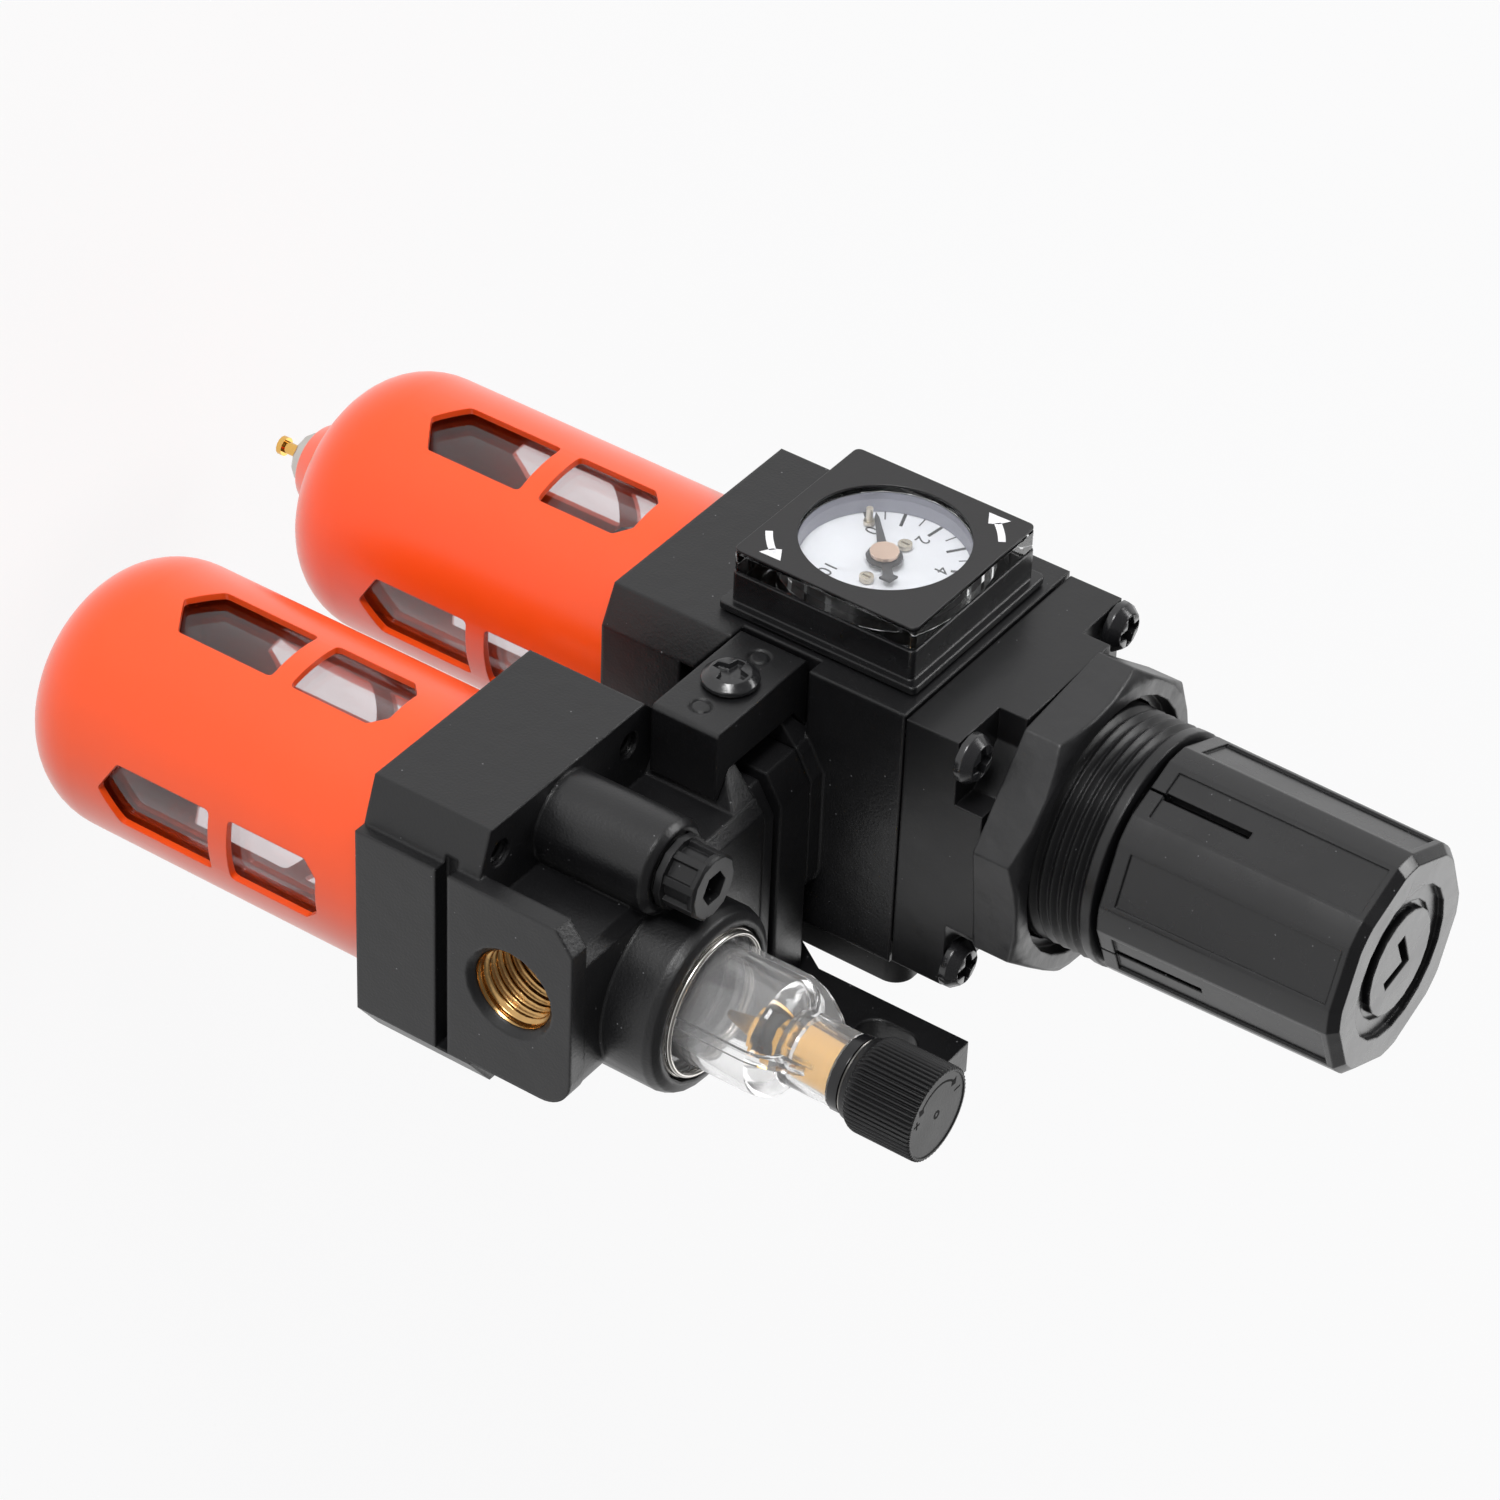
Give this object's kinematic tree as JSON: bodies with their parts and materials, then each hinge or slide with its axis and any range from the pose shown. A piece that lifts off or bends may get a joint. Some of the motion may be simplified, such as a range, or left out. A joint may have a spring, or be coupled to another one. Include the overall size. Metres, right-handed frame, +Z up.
{
  "type": "filter regulator lubricator",
  "caption": "Pneumatic filter regulator and lubricator on a wall bracket, with pressure knob, square gauge, clear bowls in orange guards and a sight dome.",
  "frame": {"origin": "wall face of the bracket, level with the port axis, midway between the two bodies", "axes": "+X along the air flow from the regulator to the lubricator, +Y into the wall, +Z up towards the knobs"},
  "size_m": [0.092, 0.0594, 0.1757],
  "materials": {
    "cast_black": "semi-matt, finely speckled",
    "plastic_black": "satin gloss",
    "guard_orange": "gloss",
    "clear_plastic": "clear polycarbonate",
    "bowl_plastic": "clear polycarbonate",
    "brass": "turned",
    "nickel": "nickel plated",
    "black_steel": "blackened steel",
    "spring_steel": "wire",
    "rubber_black": "matt",
    "element_brown": "sintered, porous",
    "dial_white": "matt print",
    "pointer_grey": "matt",
    "copper": "turned"
  },
  "bodies": {
    "unit": {"wall_bracket": "cast_black", "joining_clamp": "cast_black", "clamp_screw": "black_steel", "spacer_seal_inlet": "rubber_black", "spacer_seal_outlet": "rubber_black", "regulator_body": "cast_black", "bonnet": "plastic_black", "bonnet_screw_1": "black_steel", "bonnet_screw_2": "black_steel", "bonnet_screw_3": "black_steel", "bonnet_screw_4": "black_steel", "panel_nut": "plastic_black", "pressure_spring": "spring_steel", "diaphragm": "rubber_black", "diaphragm_plate": "brass", "valve_spring": "spring_steel", "element_stud": "brass", "air_deflector": "plastic_black", "filter_element": "element_brown", "element_retainer": "plastic_black", "gauge_case": "plastic_black", "gauge_lens": "clear_plastic", "gauge_label": "plastic_black", "gauge_dial": "dial_white", "gauge_stop_pin": "copper", "dial_screw_1": "nickel", "dial_screw_2": "nickel", "bourdon_tube": "brass", "rear_port_cover": "plastic_black", "lubricator_body": "cast_black", "sight_dome": "clear_plastic", "dome_ring": "nickel", "dome_seal": "rubber_black", "needle_ring": "rubber_black", "oil_tube": "clear_plastic", "oil_strainer": "element_brown", "flow_damper": "rubber_black"},
    "adjuster": {"adjusting_screw": "spring_steel"},
    "knob": {"pressure_knob": "plastic_black"},
    "spring_nut": {"adjusting_nut": "brass"},
    "valve": {"valve_poppet": "brass"},
    "pointer": {"gauge_pointer": "pointer_grey", "gauge_hub": "copper"},
    "needle": {"needle_stem": "brass", "needle_knob": "plastic_black"},
    "plug_seal": {"fill_plug_seal": "rubber_black"},
    "plug": {"fill_plug": "plastic_black"},
    "filter_bowl_seat": {"filter_bowl_seal": "rubber_black"},
    "filter_bowl_unit": {"filter_bowl": "bowl_plastic", "filter_bowl_guard": "guard_orange", "drain_nipple": "nickel"},
    "drain": {"drain_pin": "brass"},
    "oil_bowl_seat": {"oil_bowl_seal": "rubber_black"},
    "oil_bowl_unit": {"oil_bowl": "bowl_plastic", "oil_bowl_guard": "guard_orange", "oil_bowl_plug": "nickel"}
  },
  "joints": [
    {"name": "knob_turn", "type": "hinge", "parent": "unit", "child": "adjuster", "pos_m": [-0.0262, -0.03, 0.06], "axis": [0, 0, -1], "range_deg": [0, 1350]},
    {"name": "knob_lift", "type": "slide", "parent": "adjuster", "child": "knob", "axis": [0, 0, 1], "range_m": [0, 0.003]},
    {"name": "nut_travel", "type": "slide", "parent": "unit", "child": "spring_nut", "axis": [0, 0, -1], "range_m": [0, 0.00562], "deforming": ["pressure_spring"]},
    {"name": "valve_open", "type": "slide", "parent": "unit", "child": "valve", "axis": [0, 0, -1], "range_m": [0, 0.0012], "stiffness_N_per_m": 800, "deforming": ["valve_spring"]},
    {"name": "pointer_turn", "type": "hinge", "parent": "unit", "child": "pointer", "pos_m": [-0.02595, -0.0557, 0.00495], "axis": [0, 1, 0], "range_deg": [0, 264], "stiffness_Nm_per_rad": 0.0002},
    {"name": "needle_turn", "type": "hinge", "parent": "unit", "child": "needle", "pos_m": [0.0262, -0.0245, 0.045], "axis": [0, 0, 1], "range_deg": [0, 990]},
    {"name": "plug_lift", "type": "slide", "parent": "unit", "child": "plug_seal", "axis": [0, 0, 1], "range_m": [0, 0.006]},
    {"name": "plug_turn", "type": "hinge", "parent": "plug_seal", "child": "plug", "pos_m": [0.0262, -0.0427, 0.012], "axis": [0, 0, 1], "range_deg": [0, 2160]},
    {"name": "filter_bowl_drop", "type": "slide", "parent": "unit", "child": "filter_bowl_seat", "axis": [0, 0, -1], "range_m": [0, 0.008]},
    {"name": "filter_bowl_turn", "type": "hinge", "parent": "filter_bowl_seat", "child": "filter_bowl_unit", "pos_m": [-0.0262, -0.03, -0.05], "axis": [0, 0, -1], "range_deg": [0, 1440]},
    {"name": "drain_push", "type": "slide", "parent": "filter_bowl_unit", "child": "drain", "axis": [0, 0, 1], "range_m": [0, 0.002], "stiffness_N_per_m": 300},
    {"name": "oil_bowl_drop", "type": "slide", "parent": "unit", "child": "oil_bowl_seat", "axis": [0, 0, -1], "range_m": [0, 0.008]},
    {"name": "oil_bowl_turn", "type": "hinge", "parent": "oil_bowl_seat", "child": "oil_bowl_unit", "pos_m": [0.0262, -0.03, -0.05], "axis": [0, 0, -1], "range_deg": [0, 1440]}
  ],
  "couplings": [
    {"joint": "knob_turn", "follows": "nut_travel", "rad_per_m": 4188.8},
    {"joint": "plug_turn", "follows": "plug_lift", "rad_per_m": 6283.2},
    {"joint": "filter_bowl_turn", "follows": "filter_bowl_drop", "rad_per_m": 3141.6},
    {"joint": "oil_bowl_turn", "follows": "oil_bowl_drop", "rad_per_m": 3141.6}
  ]
}
